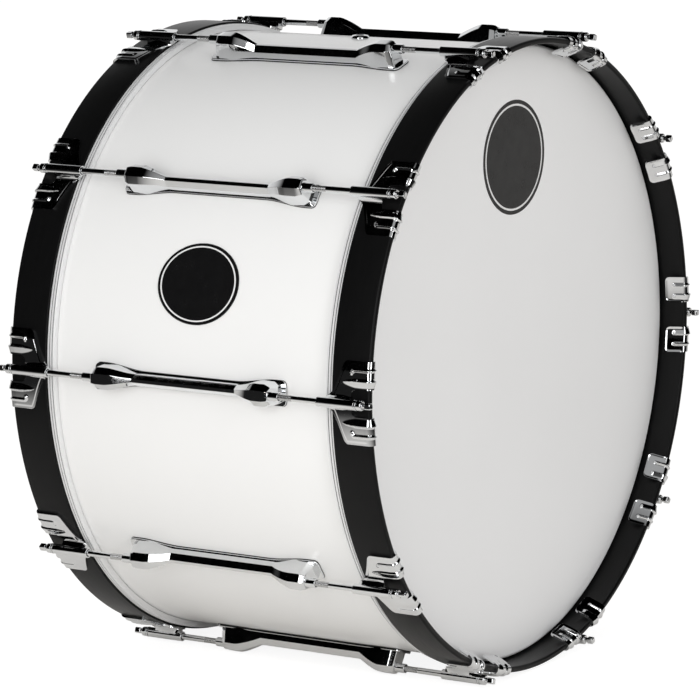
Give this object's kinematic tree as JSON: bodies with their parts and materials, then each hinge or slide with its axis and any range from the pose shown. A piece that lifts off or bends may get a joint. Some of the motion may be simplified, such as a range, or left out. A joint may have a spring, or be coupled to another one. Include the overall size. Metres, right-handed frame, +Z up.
{
  "type": "marching bass drum",
  "caption": "Marching bass drum lying on its side: wooden shell, a head at each end under a black counter hoop, tensioned by key rods through double claws into full-length lugs.",
  "frame": {"origin": "under the middle of the drum, on the surface that the two lowest lugs stand on", "axes": "+Z up, the drum's axis along Y with the front head facing -Y, +X to the right seen from the front"},
  "size_m": [0.6584, 0.4272, 0.6304],
  "materials": {
    "shell_finish": "gloss white",
    "hoop_lacquer": "gloss black lacquer",
    "head_film": "smooth white film",
    "flesh_hoop_aluminium": "bright",
    "chrome": "polished",
    "badge_enamel": "gloss black"
  },
  "bodies": {
    "shell_assembly": {"shell": "shell_finish", "vent_grommet": "chrome", "shell_badge": "badge_enamel", "lug_01": "chrome", "lug_02": "chrome", "lug_03": "chrome", "lug_04": "chrome", "lug_05": "chrome", "lug_06": "chrome", "lug_07": "chrome", "lug_08": "chrome", "lug_09": "chrome", "lug_10": "chrome"},
    "front_hoop_assembly": {"front_hoop": "hoop_lacquer", "front_head_film": "head_film", "front_flesh_hoop": "flesh_hoop_aluminium", "front_claw_01": "chrome", "front_claw_02": "chrome", "front_claw_03": "chrome", "front_claw_04": "chrome", "front_claw_05": "chrome", "front_claw_06": "chrome", "front_claw_07": "chrome", "front_claw_08": "chrome", "front_claw_09": "chrome", "front_claw_10": "chrome"},
    "rear_hoop_assembly": {"rear_hoop": "hoop_lacquer", "rear_head_film": "head_film", "rear_flesh_hoop": "flesh_hoop_aluminium", "rear_claw_01": "chrome", "rear_claw_02": "chrome", "rear_claw_03": "chrome", "rear_claw_04": "chrome", "rear_claw_05": "chrome", "rear_claw_06": "chrome", "rear_claw_07": "chrome", "rear_claw_08": "chrome", "rear_claw_09": "chrome", "rear_claw_10": "chrome"},
    "front_rod_01": {"front_rod_01": "chrome"},
    "front_rod_02": {"front_rod_02": "chrome"},
    "front_rod_03": {"front_rod_03": "chrome"},
    "front_rod_04": {"front_rod_04": "chrome"},
    "front_rod_05": {"front_rod_05": "chrome"},
    "front_rod_06": {"front_rod_06": "chrome"},
    "front_rod_07": {"front_rod_07": "chrome"},
    "front_rod_08": {"front_rod_08": "chrome"},
    "front_rod_09": {"front_rod_09": "chrome"},
    "front_rod_10": {"front_rod_10": "chrome"},
    "rear_rod_01": {"rear_rod_01": "chrome"},
    "rear_rod_02": {"rear_rod_02": "chrome"},
    "rear_rod_03": {"rear_rod_03": "chrome"},
    "rear_rod_04": {"rear_rod_04": "chrome"},
    "rear_rod_05": {"rear_rod_05": "chrome"},
    "rear_rod_06": {"rear_rod_06": "chrome"},
    "rear_rod_07": {"rear_rod_07": "chrome"},
    "rear_rod_08": {"rear_rod_08": "chrome"},
    "rear_rod_09": {"rear_rod_09": "chrome"},
    "rear_rod_10": {"rear_rod_10": "chrome"}
  },
  "joints": [
    {"name": "front_hoop_slide", "type": "slide", "parent": "shell_assembly", "child": "front_hoop_assembly", "axis": [0, -1, 0], "range_m": [0, 0.015]},
    {"name": "rear_hoop_slide", "type": "slide", "parent": "shell_assembly", "child": "rear_hoop_assembly", "axis": [0, 1, 0], "range_m": [0, 0.015]},
    {"name": "front_rod_01_turn", "type": "hinge", "parent": "front_hoop_assembly", "child": "front_rod_01", "pos_m": [0.09966, -0.2, 0.62193], "axis": [0, -1, 0], "range_deg": [0, 5104]},
    {"name": "front_rod_02_turn", "type": "hinge", "parent": "front_hoop_assembly", "child": "front_rod_02", "pos_m": [0.26091, -0.2, 0.50477], "axis": [0, -1, 0], "range_deg": [0, 5104]},
    {"name": "front_rod_03_turn", "type": "hinge", "parent": "front_hoop_assembly", "child": "front_rod_03", "pos_m": [0.3225, -0.2, 0.31521], "axis": [0, -1, 0], "range_deg": [0, 5104]},
    {"name": "front_rod_04_turn", "type": "hinge", "parent": "front_hoop_assembly", "child": "front_rod_04", "pos_m": [0.26091, -0.2, 0.12565], "axis": [0, -1, 0], "range_deg": [0, 5104]},
    {"name": "front_rod_05_turn", "type": "hinge", "parent": "front_hoop_assembly", "child": "front_rod_05", "pos_m": [0.09966, -0.2, 0.0085], "axis": [0, -1, 0], "range_deg": [0, 5104]},
    {"name": "front_rod_06_turn", "type": "hinge", "parent": "front_hoop_assembly", "child": "front_rod_06", "pos_m": [-0.09966, -0.2, 0.0085], "axis": [0, -1, 0], "range_deg": [0, 5104]},
    {"name": "front_rod_07_turn", "type": "hinge", "parent": "front_hoop_assembly", "child": "front_rod_07", "pos_m": [-0.26091, -0.2, 0.12565], "axis": [0, -1, 0], "range_deg": [0, 5104]},
    {"name": "front_rod_08_turn", "type": "hinge", "parent": "front_hoop_assembly", "child": "front_rod_08", "pos_m": [-0.3225, -0.2, 0.31521], "axis": [0, -1, 0], "range_deg": [0, 5104]},
    {"name": "front_rod_09_turn", "type": "hinge", "parent": "front_hoop_assembly", "child": "front_rod_09", "pos_m": [-0.26091, -0.2, 0.50477], "axis": [0, -1, 0], "range_deg": [0, 5104]},
    {"name": "front_rod_10_turn", "type": "hinge", "parent": "front_hoop_assembly", "child": "front_rod_10", "pos_m": [-0.09966, -0.2, 0.62193], "axis": [0, -1, 0], "range_deg": [0, 5104]},
    {"name": "rear_rod_01_turn", "type": "hinge", "parent": "rear_hoop_assembly", "child": "rear_rod_01", "pos_m": [0.09966, 0.2, 0.62193], "axis": [0, 1, 0], "range_deg": [0, 5104]},
    {"name": "rear_rod_02_turn", "type": "hinge", "parent": "rear_hoop_assembly", "child": "rear_rod_02", "pos_m": [0.26091, 0.2, 0.50477], "axis": [0, 1, 0], "range_deg": [0, 5104]},
    {"name": "rear_rod_03_turn", "type": "hinge", "parent": "rear_hoop_assembly", "child": "rear_rod_03", "pos_m": [0.3225, 0.2, 0.31521], "axis": [0, 1, 0], "range_deg": [0, 5104]},
    {"name": "rear_rod_04_turn", "type": "hinge", "parent": "rear_hoop_assembly", "child": "rear_rod_04", "pos_m": [0.26091, 0.2, 0.12565], "axis": [0, 1, 0], "range_deg": [0, 5104]},
    {"name": "rear_rod_05_turn", "type": "hinge", "parent": "rear_hoop_assembly", "child": "rear_rod_05", "pos_m": [0.09966, 0.2, 0.0085], "axis": [0, 1, 0], "range_deg": [0, 5104]},
    {"name": "rear_rod_06_turn", "type": "hinge", "parent": "rear_hoop_assembly", "child": "rear_rod_06", "pos_m": [-0.09966, 0.2, 0.0085], "axis": [0, 1, 0], "range_deg": [0, 5104]},
    {"name": "rear_rod_07_turn", "type": "hinge", "parent": "rear_hoop_assembly", "child": "rear_rod_07", "pos_m": [-0.26091, 0.2, 0.12565], "axis": [0, 1, 0], "range_deg": [0, 5104]},
    {"name": "rear_rod_08_turn", "type": "hinge", "parent": "rear_hoop_assembly", "child": "rear_rod_08", "pos_m": [-0.3225, 0.2, 0.31521], "axis": [0, 1, 0], "range_deg": [0, 5104]},
    {"name": "rear_rod_09_turn", "type": "hinge", "parent": "rear_hoop_assembly", "child": "rear_rod_09", "pos_m": [-0.26091, 0.2, 0.50477], "axis": [0, 1, 0], "range_deg": [0, 5104]},
    {"name": "rear_rod_10_turn", "type": "hinge", "parent": "rear_hoop_assembly", "child": "rear_rod_10", "pos_m": [-0.09966, 0.2, 0.62193], "axis": [0, 1, 0], "range_deg": [0, 5104]}
  ],
  "couplings": [
    {"joint": "front_rod_01_turn", "follows": "front_hoop_slide", "rad_per_m": 5936.9},
    {"joint": "front_rod_02_turn", "follows": "front_hoop_slide", "rad_per_m": 5936.9},
    {"joint": "front_rod_03_turn", "follows": "front_hoop_slide", "rad_per_m": 5936.9},
    {"joint": "front_rod_04_turn", "follows": "front_hoop_slide", "rad_per_m": 5936.9},
    {"joint": "front_rod_05_turn", "follows": "front_hoop_slide", "rad_per_m": 5936.9},
    {"joint": "front_rod_06_turn", "follows": "front_hoop_slide", "rad_per_m": 5936.9},
    {"joint": "front_rod_07_turn", "follows": "front_hoop_slide", "rad_per_m": 5936.9},
    {"joint": "front_rod_08_turn", "follows": "front_hoop_slide", "rad_per_m": 5936.9},
    {"joint": "front_rod_09_turn", "follows": "front_hoop_slide", "rad_per_m": 5936.9},
    {"joint": "front_rod_10_turn", "follows": "front_hoop_slide", "rad_per_m": 5936.9},
    {"joint": "rear_rod_01_turn", "follows": "rear_hoop_slide", "rad_per_m": 5936.9},
    {"joint": "rear_rod_02_turn", "follows": "rear_hoop_slide", "rad_per_m": 5936.9},
    {"joint": "rear_rod_03_turn", "follows": "rear_hoop_slide", "rad_per_m": 5936.9},
    {"joint": "rear_rod_04_turn", "follows": "rear_hoop_slide", "rad_per_m": 5936.9},
    {"joint": "rear_rod_05_turn", "follows": "rear_hoop_slide", "rad_per_m": 5936.9},
    {"joint": "rear_rod_06_turn", "follows": "rear_hoop_slide", "rad_per_m": 5936.9},
    {"joint": "rear_rod_07_turn", "follows": "rear_hoop_slide", "rad_per_m": 5936.9},
    {"joint": "rear_rod_08_turn", "follows": "rear_hoop_slide", "rad_per_m": 5936.9},
    {"joint": "rear_rod_09_turn", "follows": "rear_hoop_slide", "rad_per_m": 5936.9},
    {"joint": "rear_rod_10_turn", "follows": "rear_hoop_slide", "rad_per_m": 5936.9}
  ]
}
